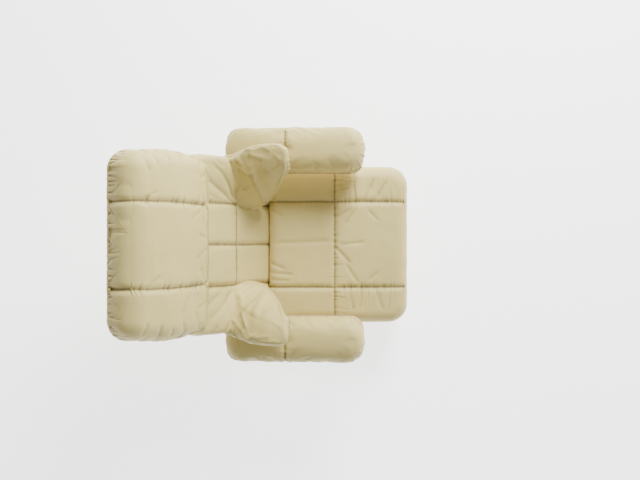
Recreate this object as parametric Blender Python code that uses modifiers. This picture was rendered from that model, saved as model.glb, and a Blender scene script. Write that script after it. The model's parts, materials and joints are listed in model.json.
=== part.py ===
"""Padded seat unit of a swivel recliner, with its frame and its swivel plates.

Metres, Z up, front towards -Y. The origin is on the swivel axis, at the flat
underside of the lower swivel plate. The back is modelled in its own frame:
x across, u up along the back and n out of its front, from the recline pivot.
"""
import math

import bmesh
import bpy
from mathutils import Matrix, Vector

# ---------------------------------------------------------------- clearances
GAP = 0.0003
LAYER_GAP = 0.0007
RUNNING = 0.00005
LEATHER = 0.0015
WADDING = 0.012
FILL_INSET = 0.010
PANEL = 0.0015
BOARD = 0.012

# ---------------------------------------------------------------- swivel
PLATE = 0.240
PLATE_T = 0.006
PLATE_CORNER = 0.030
BEARING_T = 0.0097
BEARING_OUT = 0.075
BEARING_IN = 0.048
PIN_R = 0.010
PIN_HEAD_R = 0.018
PIN_HEAD_T = 0.0045

# ---------------------------------------------------------------- base frame
RAIL_X = 0.090
RAIL_W = 0.030
RAIL_H = 0.025
RAIL_FRONT = -0.200
RAIL_REAR = 0.270
CROSS_W = 0.040
CROSS_T = 0.010
CROSS_END = 0.0135
CROSS_FRONT_Y = -0.100
CROSS_REAR_Y = 0.120

# ---------------------------------------------------------------- seat
SEAT_HALF = 0.280
SEAT_FRONT = -0.325
SEAT_REAR = 0.180
SEAT_TOP = 0.205
SEAT_RIM = 0.076
SEAT_CORNER = 0.050
SEAT_EDGE = 0.040
SEAT_BAR_R = 0.0125
SEAT_BAR_X = 0.235
SEAT_BAR_FRONT = -0.280
SEAT_BAR_REAR = 0.135
SPRING_R = 0.0016
SPRING_X = (-0.150, -0.050, 0.050, 0.150)
SPRING_SWING = 0.022
SPRING_TURNS = 8

# ---------------------------------------------------------------- arms
ARM_HALF = 0.0795
ARM_FRONT = -0.162
ARM_REAR = 0.311
ARM_BOTTOM = 0.255
ARM_TOP = 0.382
ARM_FALL = 0.050
ARM_CORNER = 0.045
ARM_EDGE = 0.030
ARM_POST_R = 0.011
ARM_POST_CLEAR = 0.0295
ARM_BACK_GAP = 0.013

# ---------------------------------------------------------------- back
BACK_ANGLE = math.radians(35)
PIVOT = Vector((0.0, 0.240, 0.150))
BACK_HALF = 0.228
BACK_REAR = -0.0505
BACK_FRONT = 0.075
BACK_END_R = 0.075
BACK_CORNER = 0.026
BACK_EDGE = 0.020
SEAT_BACK_GAP = 0.005
DOME_U = 0.190
DOME_N = -0.0626
DOME_R = 0.200
DOME_GAP = 0.0035

# ---------------------------------------------------------------- wings
# Each level: depth n, then four corners (x from the side of the lower back, u).
WING_SIDE_W = 0.0705
WING_SIDE_LOW = 0.205
WING_CORNER = 0.014
WING_LEVELS = (
    (0.0756, (-0.088, 0.150), (0.0705, 0.203), (0.072, 0.240), (-0.088, 0.205)),
    (0.130, (-0.066, 0.146), (0.079, 0.190), (0.083, 0.250), (-0.066, 0.215)),
    (0.200, (-0.030, 0.145), (0.086, 0.165), (0.091, 0.250), (-0.030, 0.228)),
    (0.262, (-0.006, 0.140), (0.087, 0.150), (0.091, 0.235), (-0.006, 0.222)),
    (0.287, (0.014, 0.154), (0.069, 0.160), (0.072, 0.214), (0.014, 0.205)),
)

# ---------------------------------------------------------------- head section
HEAD_TOP = 0.628
HEAD_HALF_LOW = 0.300
HEAD_HALF_TOP = 0.276
HEAD_TAPER_FROM = 0.330
HEAD_FRONT = 0.092
HEAD_CORNER = 0.045
HEAD_EDGE = 0.040
HEAD_REAR_EDGE = 0.050

# ---------------------------------------------------------------- back frame
SLEEVE_WALL = 0.0032
SLEEVE_X = 0.150
SLEEVE_TOP = 0.330
POST_R = 0.0090
POST_LOW = 0.130
POST_TOP = 0.520
BACK_BAR_R = 0.010
BACK_BAR_U = 0.090

# ---------------------------------------------------------------- recline hinge
HINGE_PLATE_T = 0.004
BRACKET_T = 0.005
HINGE_BOSS = 0.024
BOLT_R = 0.006
KNOB_R = 0.022
KNOB_T = 0.022

CORNER_STEPS = 4
ROUND = 24

# ---------------------------------------------------------------- derived sizes
ARM_POST_X = max(SEAT_HALF + ARM_POST_CLEAR + ARM_POST_R, BACK_HALF + ARM_BACK_GAP + ARM_HALF)
ARM_IN = ARM_POST_X - ARM_HALF
ARM_OUT = ARM_POST_X + ARM_HALF
CROSS_HALF = ARM_POST_X + ARM_POST_R + CROSS_END
WING_SIDE_OUT = BACK_HALF + WING_SIDE_W
PLATE2_Z = PLATE_T + GAP + BEARING_T + GAP
RAIL_Z = PLATE2_Z + PLATE_T + GAP
CROSS_Z = RAIL_Z + RAIL_H + GAP
SEAT_BAR_Z = CROSS_Z + CROSS_T + GAP + SEAT_BAR_R
SPRING_Z = SEAT_BAR_Z + SEAT_BAR_R + GAP + SPRING_R
FOAM_Z = SPRING_Z + SPRING_R + GAP
ARM_FACE = ARM_BOTTOM + BOARD + GAP
BACK_FACE = BACK_REAR + BOARD + GAP
WADDING_INSET = LEATHER + LAYER_GAP
CORE_INSET = WADDING_INSET + WADDING + LAYER_GAP
SLEEVE_BORE = POST_R + GAP
SLEEVE_R = SLEEVE_BORE + SLEEVE_WALL
SLEEVE_N = BACK_REAR - GAP - PANEL - GAP - SLEEVE_R
HEAD_REAR = SLEEVE_N + POST_R + GAP + PANEL + GAP
HEAD_FACE = HEAD_REAR + BOARD + GAP
BAR_N = BACK_REAR - GAP - PANEL - GAP - BACK_BAR_R
PLATE_X = BACK_HALF + 0.001
BRACKET_X = PLATE_X + HINGE_PLATE_T + GAP
KNOB_X = BRACKET_X + BRACKET_T + GAP

LEATHER_LOOK = ((0.62, 0.55, 0.38, 1.0), 0.0, 0.45)
FOAM_LOOK = ((0.80, 0.74, 0.52, 1.0), 0.0, 0.90)
WADDING_LOOK = ((0.90, 0.90, 0.88, 1.0), 0.0, 0.95)
STEEL_LOOK = ((0.05, 0.05, 0.055, 1.0), 0.3, 0.45)
WIRE_LOOK = ((0.45, 0.45, 0.46, 1.0), 1.0, 0.35)
WOOD_LOOK = ((0.60, 0.42, 0.24, 1.0), 0.0, 0.60)
PLASTIC_LOOK = ((0.03, 0.03, 0.03, 1.0), 0.0, 0.50)


def clear_scene():
    """Start from an empty file."""
    for old in list(bpy.data.objects):
        bpy.data.objects.remove(old, do_unlink=True)


def parts_collection():
    """Make the collection that holds every piece."""
    collection = bpy.data.collections.new("recliner_seat_unit")
    bpy.context.scene.collection.children.link(collection)
    return collection


def give_look(data, name, look):
    """Give a piece its own material."""
    colour, metallic, roughness = look
    material = bpy.data.materials.new(name + "_material")
    material.use_nodes = True
    shader = material.node_tree.nodes["Principled BSDF"]
    shader.inputs["Base Color"].default_value = colour
    shader.inputs["Metallic"].default_value = metallic
    shader.inputs["Roughness"].default_value = roughness
    data.materials.append(material)


def finish_mesh(name, mesh, look, origin):
    """Close a mesh piece: faces outwards, round sides smooth, origin in place."""
    bmesh.ops.recalc_face_normals(mesh, faces=mesh.faces)
    for vertex in mesh.verts:
        vertex.co -= Vector(origin)
    for face in mesh.faces:
        face.smooth = len(face.verts) == 4
    data = bpy.data.meshes.new(name)
    mesh.to_mesh(data)
    mesh.free()
    data.set_sharp_from_angle(angle=math.radians(40))
    piece = bpy.data.objects.new(name, data)
    piece.location = origin
    PARTS.objects.link(piece)
    give_look(data, name, look)
    return piece


def in_world(x, y, z):
    """Place a point of a level piece."""
    return Vector((x, y, z))


def in_back(x, u, n):
    """Place a point of the reclined back."""
    along = math.sin(BACK_ANGLE) * u - math.cos(BACK_ANGLE) * n
    above = math.cos(BACK_ANGLE) * u + math.sin(BACK_ANGLE) * n
    return PIVOT + Vector((x, along, above))


def rounded(corners, radius):
    """Round each corner of a convex outline."""
    points = []
    for index, corner in enumerate(corners):
        here = Vector(corner)
        back = (Vector(corners[index - 1]) - here).normalized()
        ahead = (Vector(corners[(index + 1) % len(corners)]) - here).normalized()
        half = back.angle(ahead) / 2
        centre = here + (back + ahead).normalized() * (radius / math.sin(half))
        start = here + back * (radius / math.tan(half)) - centre
        end = here + ahead * (radius / math.tan(half)) - centre
        first = math.atan2(start.y, start.x)
        sweep = math.atan2(end.y, end.x) - first
        sweep = (sweep + math.pi) % (2 * math.pi) - math.pi
        for step in range(CORNER_STEPS + 1):
            angle = first + sweep * step / CORNER_STEPS
            points.append(centre + Vector((math.cos(angle), math.sin(angle))) * radius)
    return points


def add_ring(mesh, level, place, side=1):
    """Add one level's outline as a ring of vertices."""
    height, corners, radius = level
    ring = []
    for point in rounded(corners, radius):
        ring.append(mesh.verts.new(place(point.x * side, point.y, height)))
    return ring


def bridge(mesh, first, second):
    """Join two rings with a band of faces."""
    count = len(first)
    for index in range(count):
        after = (index + 1) % count
        mesh.faces.new((first[index], first[after], second[after], second[index]))


def bridge_all(mesh, rings):
    """Join a run of rings."""
    for index in range(len(rings) - 1):
        bridge(mesh, rings[index], rings[index + 1])


def solid_stack(name, levels, place, look, origin=(0, 0, 0), side=1):
    """Build a closed solid through a run of levels."""
    mesh = bmesh.new()
    rings = [add_ring(mesh, level, place, side) for level in levels]
    bridge_all(mesh, rings)
    mesh.faces.new(rings[0])
    mesh.faces.new(rings[-1])
    return finish_mesh(name, mesh, look, origin)


def skin_stack(name, outer, inner, place, look, origin=(0, 0, 0), side=1):
    """Build a skin between two runs of levels, open at their first level."""
    mesh = bmesh.new()
    outside = [add_ring(mesh, level, place, side) for level in outer]
    inside = [add_ring(mesh, level, place, side) for level in inner]
    bridge_all(mesh, outside)
    bridge_all(mesh, inside)
    bridge(mesh, outside[0], inside[0])
    mesh.faces.new(outside[-1])
    mesh.faces.new(inside[-1])
    return finish_mesh(name, mesh, look, origin)


def box(name, low, high, look, origin=(0, 0, 0)):
    """Build a straight bar or board with broken edges."""
    mesh = bmesh.new()
    bmesh.ops.create_cube(mesh, size=1.0)
    for vertex in mesh.verts:
        for axis in range(3):
            middle = (low[axis] + high[axis]) / 2
            vertex.co[axis] = middle + vertex.co[axis] * (high[axis] - low[axis])
    piece = finish_mesh(name, mesh, look, origin)
    bevel = piece.modifiers.new("broken_edges", "BEVEL")
    bevel.width = 0.0015
    bevel.segments = 1
    return piece


def towards(direction, point):
    """Turn a piece's own Z along a direction and set it at a point."""
    turn = Vector(direction).to_track_quat("Z", "Y")
    return Matrix.LocRotScale(Vector(point), turn, None)


def round_bar(name, start, end, radius, look, origin=(0, 0, 0)):
    """Build a round bar between two points."""
    start = Vector(start)
    end = Vector(end)
    mesh = bmesh.new()
    bmesh.ops.create_cone(mesh, cap_ends=True, segments=ROUND, radius1=radius, radius2=radius,
                          depth=(end - start).length, matrix=towards(end - start, (start + end) / 2))
    return finish_mesh(name, mesh, look, origin)


def turned(name, profile, placing, look, ring=False, steps=ROUND):
    """Build a turned piece from (radius, height) pairs that run down its outer side."""
    data = bpy.data.meshes.new(name)
    corners = [(radius, 0.0, height) for radius, height in profile]
    count = len(corners)
    edges = [(index, index + 1) for index in range(count - 1)]
    if ring:
        edges.append((count - 1, 0))
    data.from_pydata(corners, edges, [])
    piece = bpy.data.objects.new(name, data)
    piece.matrix_world = placing
    PARTS.objects.link(piece)
    screw = piece.modifiers.new("turning", "SCREW")
    screw.steps = steps
    screw.render_steps = steps
    screw.use_merge_vertices = True
    screw.merge_threshold = 0.00001
    screw.use_smooth_shade = False
    give_look(data, name, look)
    return piece


def tube(name, start, end, radius, bore, look):
    """Build a round tube between two points."""
    half = (Vector(end) - Vector(start)).length / 2
    profile = ((radius, half), (radius, -half), (bore, -half), (bore, half))
    placing = towards(Vector(end) - Vector(start), (Vector(start) + Vector(end)) / 2)
    return turned(name, profile, placing, look, ring=True)


def bored_plate(name, outline, centre, bore, thickness, placing, look):
    """Build a flat plate of a given outline with a round hole through it."""
    curve = bpy.data.curves.new(name, "CURVE")
    curve.dimensions = "2D"
    curve.fill_mode = "BOTH"
    curve.extrude = thickness / 2
    for points in (outline, circle_points(centre, bore, ROUND * 2)):
        spline = curve.splines.new("POLY")
        spline.points.add(len(points) - 1)
        for point, (x, y) in zip(spline.points, points):
            point.co = (x, y, 0.0, 1.0)
        spline.use_cyclic_u = True
    piece = bpy.data.objects.new(name, curve)
    piece.matrix_world = placing
    PARTS.objects.link(piece)
    give_look(curve, name, look)
    return piece


def circle_points(centre, radius, count):
    """List points round a circle."""
    points = []
    for step in range(count):
        angle = 2 * math.pi * step / count
        points.append((centre[0] + radius * math.cos(angle), centre[1] + radius * math.sin(angle)))
    return points


def hull(points):
    """Find the convex outline round a set of points."""
    ordered = sorted(set(points))

    def half(run):
        line = []
        for point in run:
            while len(line) > 1:
                ax, ay = line[-1][0] - line[-2][0], line[-1][1] - line[-2][1]
                bx, by = point[0] - line[-2][0], point[1] - line[-2][1]
                if ax * by - ay * bx > 0:
                    break
                line.pop()
            line.append(point)
        return line[:-1]

    return half(ordered) + half(reversed(ordered))


def edge_inset(height, top, radius):
    """Give how far a filleted edge has drawn in at a height under its top."""
    below = height - (top - radius)
    if below <= 0:
        return 0.0
    return radius - math.sqrt(max(radius * radius - below * below, 0.0))


def spread(rim, face, low, high, radius):
    """Choose level heights: the same ones up the side for every layer, more round the edge."""
    shoulder = high - radius
    sides = [rim, face] + [face + (shoulder - face) * share / 3 for share in (1, 2, 3)]
    heights = [height for height in sides if height >= low]
    for angle in (25, 50, 70, 90):
        heights.append(shoulder + radius * math.sin(math.radians(angle)))
    return heights


def swivel():
    """The two swivel plates, the bearing ring between them and the king pin."""
    half = PLATE / 2
    square = ((half, -half), (half, half), (-half, half), (-half, -half))
    lower = ((0.0, square, PLATE_CORNER), (PLATE_T, square, PLATE_CORNER))
    solid_stack("swivel_lower_plate", lower, in_world, STEEL_LOOK)
    low = PLATE_T + GAP
    tube("swivel_bearing", (0, 0, low), (0, 0, low + BEARING_T), BEARING_OUT, BEARING_IN, WIRE_LOOK)
    outline = [tuple(point) for point in rounded(square, PLATE_CORNER)]
    bored_plate("swivel_upper_plate", outline, (0, 0), PIN_R + RUNNING, PLATE_T,
                Matrix.Translation((0, 0, PLATE2_Z + PLATE_T / 2)), STEEL_LOOK)
    head = PLATE2_Z + PLATE_T + GAP
    profile = ((0, head + PIN_HEAD_T), (PIN_HEAD_R, head + PIN_HEAD_T), (PIN_HEAD_R, head),
               (PIN_R, head), (PIN_R, low), (0, low))
    turned("swivel_pin", profile, Matrix.Identity(4), WIRE_LOOK, steps=ROUND * 2)


def base_frame():
    """Rails on the upper plate and the cross bars that carry seat, arms and hinge."""
    for side, word in ((1, "left"), (-1, "right")):
        low = (side * RAIL_X - RAIL_W / 2, RAIL_FRONT, RAIL_Z)
        high = (side * RAIL_X + RAIL_W / 2, RAIL_REAR, RAIL_Z + RAIL_H)
        box("base_rail_" + word, low, high, STEEL_LOOK)
    bars = (("base_cross_front", CROSS_FRONT_Y, CROSS_HALF), ("base_cross_rear", CROSS_REAR_Y, CROSS_HALF),
            ("base_cross_hinge", PIVOT.y, BRACKET_X + BRACKET_T + 0.008))
    for name, middle, reach_x in bars:
        low = (-reach_x, middle - CROSS_W / 2, CROSS_Z)
        high = (reach_x, middle + CROSS_W / 2, CROSS_Z + CROSS_T)
        box(name, low, high, STEEL_LOOK)


def seat_frame():
    """Four round bars and the sinuous springs stretched from front to rear."""
    for side, word in ((1, "left"), (-1, "right")):
        x = side * SEAT_BAR_X
        round_bar("seat_bar_" + word, (x, SEAT_BAR_FRONT - SEAT_BAR_R, SEAT_BAR_Z),
                  (x, SEAT_BAR_REAR + SEAT_BAR_R, SEAT_BAR_Z), SEAT_BAR_R, STEEL_LOOK)
    inner = SEAT_BAR_X - SEAT_BAR_R - GAP
    for y, word in ((SEAT_BAR_FRONT, "front"), (SEAT_BAR_REAR, "rear")):
        round_bar("seat_bar_" + word, (-inner, y, SEAT_BAR_Z), (inner, y, SEAT_BAR_Z),
                  SEAT_BAR_R, STEEL_LOOK)
    for index, x in enumerate(SPRING_X):
        sinuous_spring("seat_spring_%d" % (index + 1), x)


def sinuous_spring(name, x):
    """One zigzag spring of round wire, lying on the front and rear bars."""
    curve = bpy.data.curves.new(name, "CURVE")
    curve.dimensions = "3D"
    curve.bevel_depth = SPRING_R
    curve.bevel_resolution = 2
    curve.use_fill_caps = True
    spline = curve.splines.new("POLY")
    swings = (0.0, 0.80, 1.0, 0.80, 0.0, -0.80, -1.0, -0.80)
    places = (0.0, 0.125, 0.25, 0.375, 0.5, 0.625, 0.75, 0.875)
    points = []
    start = SEAT_BAR_FRONT - SEAT_BAR_R / 2
    pitch = (SEAT_BAR_REAR + SEAT_BAR_R / 2 - start) / SPRING_TURNS
    for turn in range(SPRING_TURNS):
        for swing, place in zip(swings, places):
            if swing != 0.0 or turn == 0:
                points.append((x + swing * SPRING_SWING, start + (turn + place) * pitch))
    points.append((x, start + SPRING_TURNS * pitch))
    spline.points.add(len(points) - 1)
    for point, (px, py) in zip(spline.points, points):
        point.co = (px, py, SPRING_Z, 1.0)
    piece = bpy.data.objects.new(name, curve)
    PARTS.objects.link(piece)
    give_look(curve, name, WIRE_LOOK)


def seat_levels(inset, low):
    """Outlines of the seat cushion, drawn in by an inset, from a lowest height up."""
    levels = []
    top = SEAT_TOP - inset
    edge = max(SEAT_EDGE - inset, 0.012)
    for z in spread(SEAT_RIM, FOAM_Z, low, top, edge):
        drawn = edge_inset(z, top, edge)
        half = SEAT_HALF - inset - drawn
        front = SEAT_FRONT + inset + drawn
        swing = (BACK_END_R + SEAT_BACK_GAP + inset) ** 2 - (z - PIVOT.z) ** 2
        rear = SEAT_REAR - inset - drawn * 0.2
        if swing > 0:
            rear = min(rear, PIVOT.y - math.sqrt(swing))
        corners = ((half, front), (half, rear), (-half, rear), (-half, front))
        levels.append((z, corners, max(SEAT_CORNER - inset - drawn, 0.010)))
    return levels


def seat_cushion():
    """Foam on the springs, a layer of wadding and the leather cover."""
    solid_stack("seat_foam", seat_levels(CORE_INSET, FOAM_Z), in_world, FOAM_LOOK)
    skin_stack("seat_wadding", seat_levels(WADDING_INSET, FOAM_Z),
               seat_levels(WADDING_INSET + WADDING, FOAM_Z), in_world, WADDING_LOOK)
    skin_stack("seat_cover", seat_levels(0.0, SEAT_RIM), seat_levels(LEATHER, SEAT_RIM),
               in_world, LEATHER_LOOK)


def in_arm(x, y, z):
    """Place a point of an arm pad, whose top falls towards the rear."""
    share = max(z - ARM_FACE, 0.0) / (ARM_TOP - ARM_FACE)
    fall = ARM_FALL * (y - ARM_FRONT) / (ARM_REAR - ARM_FRONT)
    return Vector((x, y, z - share * fall))


def arm_levels(inset, low):
    """Outlines of one arm pad, drawn in by an inset, from a lowest height up."""
    levels = []
    top = ARM_TOP - inset
    edge = max(ARM_EDGE - inset, 0.010)
    for z in spread(ARM_BOTTOM, ARM_FACE, low, top, edge):
        drawn = edge_inset(z, top, edge)
        pull = inset + drawn
        corners = ((ARM_OUT - pull, ARM_FRONT + pull), (ARM_OUT - pull, ARM_REAR - pull),
                   (ARM_IN + pull, ARM_REAR - pull), (ARM_IN + pull, ARM_FRONT + pull))
        levels.append((z, corners, max(ARM_CORNER - pull, 0.008)))
    return levels


def arm(side, word):
    """Two posts, the arm board, its filling and its leather cover."""
    post_low = CROSS_Z + CROSS_T + GAP
    for y, place in ((CROSS_FRONT_Y, "front"), (CROSS_REAR_Y, "rear")):
        x = side * ARM_POST_X
        round_bar("arm_post_%s_%s" % (place, word), (x, y, post_low), (x, y, ARM_BOTTOM - GAP),
                  ARM_POST_R, STEEL_LOOK)
    board = arm_levels(WADDING_INSET, ARM_BOTTOM)[0]
    outline = (board, (ARM_BOTTOM + BOARD, board[1], board[2]))
    solid_stack("arm_board_" + word, outline, in_world, WOOD_LOOK, side=side)
    solid_stack("arm_fill_" + word, arm_levels(FILL_INSET, ARM_FACE), in_arm, FOAM_LOOK, side=side)
    skin_stack("arm_cover_" + word, arm_levels(0.0, ARM_BOTTOM), arm_levels(LEATHER, ARM_BOTTOM),
               in_arm, LEATHER_LOOK, side=side)


def dome(n, radius):
    """Height along the back of the curved joint with the head section."""
    return DOME_U + math.sqrt(radius * radius - (n - DOME_N) ** 2)


def back_levels(inset, low):
    """Outlines of the lower back, drawn in by an inset, from a rearmost depth forward."""
    levels = []
    front = BACK_FRONT - inset
    edge = max(BACK_EDGE - inset, 0.006)
    for n in spread(BACK_REAR, BACK_FACE, low, front, edge):
        drawn = edge_inset(n, front, edge)
        half = BACK_HALF - inset - drawn
        foot = -math.sqrt(max((BACK_END_R - inset) ** 2 - n * n, 0.0))
        top = dome(n, DOME_R - inset) - drawn
        corners = ((half, foot), (half, top), (-half, top), (-half, foot))
        levels.append((n, corners, max(BACK_CORNER - inset - drawn * 0.5, 0.006)))
    return levels


def flat_panel(name, level, low, high, look):
    """A flat board or panel of one level's outline, across the rear of the back."""
    outline = ((low, level[1], level[2]), (high, level[1], level[2]))
    solid_stack(name, outline, in_back, look, origin=PIVOT)


def lower_back():
    """Board, foam, wadding, leather cover and rear panel of the lower back."""
    height, corners, radius = back_levels(WADDING_INSET, BACK_REAR)[0]
    top = dome(BACK_FACE, DOME_R - WADDING_INSET) - LAYER_GAP
    corners = [(x, min(u, top)) for x, u in corners]
    flat_panel("back_board", (height, corners, radius), BACK_REAR, BACK_REAR + BOARD, WOOD_LOOK)
    flat_panel("back_rear_panel", back_levels(0.0, BACK_REAR)[0], BACK_REAR - GAP - PANEL,
               BACK_REAR - GAP, LEATHER_LOOK)
    solid_stack("back_foam", back_levels(CORE_INSET, BACK_FACE), in_back, FOAM_LOOK, origin=PIVOT)
    skin_stack("back_wadding", back_levels(WADDING_INSET, BACK_FACE),
               back_levels(WADDING_INSET + WADDING, BACK_FACE), in_back, WADDING_LOOK, origin=PIVOT)
    skin_stack("back_cover", back_levels(0.0, BACK_REAR), back_levels(LEATHER, BACK_REAR),
               in_back, LEATHER_LOOK, origin=PIVOT)


def shrink(corners, inset):
    """Draw the sides of a four-cornered outline in by an inset."""
    lines = []
    for index, corner in enumerate(corners):
        here = Vector(corner)
        edge = (Vector(corners[(index + 1) % 4]) - here).normalized()
        lines.append((here + Vector((-edge.y, edge.x)) * inset, edge))
    moved = []
    for index in range(4):
        point, edge = lines[index - 1]
        other, other_edge = lines[index]
        gap = other - point
        cross = edge.x * other_edge.y - edge.y * other_edge.x
        reach_on = (gap.x * other_edge.y - gap.y * other_edge.x) / cross
        moved.append(tuple(point + edge * reach_on))
    return moved


def wing_levels(inset, low):
    """Outlines of one wing: a side panel behind, then the bolster that stands forward."""
    levels = []
    root = BACK_HALF + GAP
    radius = max(WING_CORNER - inset, 0.004)
    step = WING_LEVELS[0][0] + inset
    for n in (low, (low + step) / 2, step - 0.0002):
        top = dome(n, DOME_R)
        corners = ((root, WING_SIDE_LOW), (WING_SIDE_OUT, WING_SIDE_LOW), (WING_SIDE_OUT, top), (root, top))
        levels.append((n, shrink(corners, inset), radius))
    tip = WING_LEVELS[-1][0]
    for level in WING_LEVELS:
        share = (level[0] - WING_LEVELS[0][0]) / (tip - WING_LEVELS[0][0])
        n = step + share * (tip - inset - step)
        corners = [(BACK_HALF + x, u) for x, u in level[1:]]
        levels.append((n, shrink(corners, inset), radius))
    return levels


def wing(side, word):
    """Filling and leather cover of one wing."""
    low = BACK_REAR + GAP
    solid_stack("wing_fill_" + word, wing_levels(FILL_INSET, low), in_back, FOAM_LOOK,
                origin=PIVOT, side=side)
    skin_stack("wing_cover_" + word, wing_levels(0.0, BACK_REAR), wing_levels(LEATHER, BACK_REAR),
               in_back, LEATHER_LOOK, origin=PIVOT, side=side)


def head_levels(inset, low):
    """Outlines of the head section, drawn in by an inset, from a rearmost depth forward."""
    levels = []
    front = HEAD_FRONT - inset
    edge = max(HEAD_EDGE - inset, 0.012)
    taper = (HEAD_HALF_LOW - HEAD_HALF_TOP) / (HEAD_TOP - HEAD_TAPER_FROM)
    for n in spread(HEAD_REAR, HEAD_FACE, low, front, edge):
        drawn = edge_inset(n, front, edge)
        top = HEAD_TOP - inset - max(drawn, edge_inset(-n, -HEAD_REAR, HEAD_REAR_EDGE))
        foot = dome(n, DOME_R + DOME_GAP + inset) + drawn * 0.25
        pull = inset + drawn * 0.8
        wide = HEAD_HALF_LOW - taper * (foot - HEAD_TAPER_FROM) - pull
        narrow = HEAD_HALF_TOP - pull
        corners = ((wide, foot), (narrow, top), (-narrow, top), (-wide, foot))
        levels.append((n, corners, max(HEAD_CORNER - inset - drawn * 0.5, 0.010)))
    return levels


def head_section():
    """Board, foam, wadding, cover, rear panel and the two posts of the head section."""
    flat_panel("head_board", head_levels(WADDING_INSET + LAYER_GAP, HEAD_REAR)[0], HEAD_REAR,
               HEAD_REAR + BOARD, WOOD_LOOK)
    flat_panel("head_rear_panel", head_levels(0.0, HEAD_REAR)[0], HEAD_REAR - GAP - PANEL,
               HEAD_REAR - GAP, LEATHER_LOOK)
    solid_stack("head_foam", head_levels(CORE_INSET, HEAD_FACE), in_back, FOAM_LOOK, origin=PIVOT)
    skin_stack("head_wadding", head_levels(WADDING_INSET, HEAD_FACE),
               head_levels(WADDING_INSET + WADDING, HEAD_FACE), in_back, WADDING_LOOK, origin=PIVOT)
    skin_stack("head_cover", head_levels(0.0, HEAD_REAR), head_levels(LEATHER, HEAD_REAR),
               in_back, LEATHER_LOOK, origin=PIVOT)
    for side, word in ((1, "left"), (-1, "right")):
        x = side * SLEEVE_X
        round_bar("head_post_" + word, in_back(x, POST_LOW, SLEEVE_N),
                  in_back(x, POST_TOP, SLEEVE_N), POST_R, WIRE_LOOK, origin=PIVOT)


def back_frame():
    """The cross tube behind the back and the two sleeves that guide the head posts."""
    reach_x = PLATE_X - GAP
    round_bar("back_cross_bar", in_back(-reach_x, BACK_BAR_U, BAR_N),
              in_back(reach_x, BACK_BAR_U, BAR_N), BACK_BAR_R, STEEL_LOOK, origin=PIVOT)
    low = BACK_BAR_U + BACK_BAR_R + GAP
    for side, word in ((1, "left"), (-1, "right")):
        x = side * SLEEVE_X
        tube("back_sleeve_" + word, in_back(x, low, SLEEVE_N), in_back(x, SLEEVE_TOP, SLEEVE_N),
             SLEEVE_R, SLEEVE_BORE, STEEL_LOOK)


def side_plane(x, first, second):
    """Lay a flat outline in a plane across X, through the recline pivot."""
    normal = Vector(first).cross(Vector(second))
    turn = Matrix((first, second, normal)).transposed().to_4x4()
    return Matrix.Translation((x, PIVOT.y, PIVOT.z)) @ turn


def recline_hinge(side, word):
    """Bracket on the hinge bar, plate on the back, the bolt through both and its knob."""
    foot = CROSS_Z + CROSS_T + GAP - PIVOT.z
    half = CROSS_W / 2 - 0.002
    boss = circle_points((0.0, 0.0), HINGE_BOSS, 20)
    bracket = hull(boss + [(-half, foot), (half, foot)])
    upright = side_plane(side * (BRACKET_X + BRACKET_T / 2), (0, 1, 0), (0, 0, 1))
    bored_plate("hinge_bracket_" + word, bracket, (0.0, 0.0), BOLT_R + GAP, BRACKET_T, upright, STEEL_LOOK)
    ahead = in_back(0, 0, 1) - PIVOT
    along = in_back(0, 1, 0) - PIVOT
    plate = hull(boss + circle_points((BAR_N, BACK_BAR_U), BACK_BAR_R + 0.004, 12))
    reclined = side_plane(side * (PLATE_X + HINGE_PLATE_T / 2), ahead, along)
    bored_plate("recline_plate_" + word, plate, (0.0, 0.0), BOLT_R + RUNNING, HINGE_PLATE_T,
                reclined, STEEL_LOOK)
    end = KNOB_X + KNOB_T * 0.75
    round_bar("pivot_bolt_" + word, (side * PLATE_X, PIVOT.y, PIVOT.z), (side * end, PIVOT.y, PIVOT.z),
              BOLT_R, WIRE_LOOK)
    bore = BOLT_R + GAP
    depth = end - KNOB_X + GAP
    profile = ((0.0, KNOB_T), (KNOB_R * 0.80, KNOB_T), (KNOB_R, KNOB_T - 0.004), (KNOB_R, 0.004),
               (KNOB_R * 0.70, 0.0), (bore, 0.0), (bore, depth), (0.0, depth))
    turned("recline_knob_" + word, profile, towards((side, 0, 0), (side * KNOB_X, PIVOT.y, PIVOT.z)),
           PLASTIC_LOOK)


clear_scene()
PARTS = parts_collection()
swivel()
base_frame()
seat_frame()
seat_cushion()
lower_back()
back_frame()
head_section()
for SIDE, WORD in ((1, "left"), (-1, "right")):
    arm(SIDE, WORD)
    wing(SIDE, WORD)
    recline_hinge(SIDE, WORD)
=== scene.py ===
import json
import math

import bpy
import numpy as np
from mathutils import Matrix, Vector, noise


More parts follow.
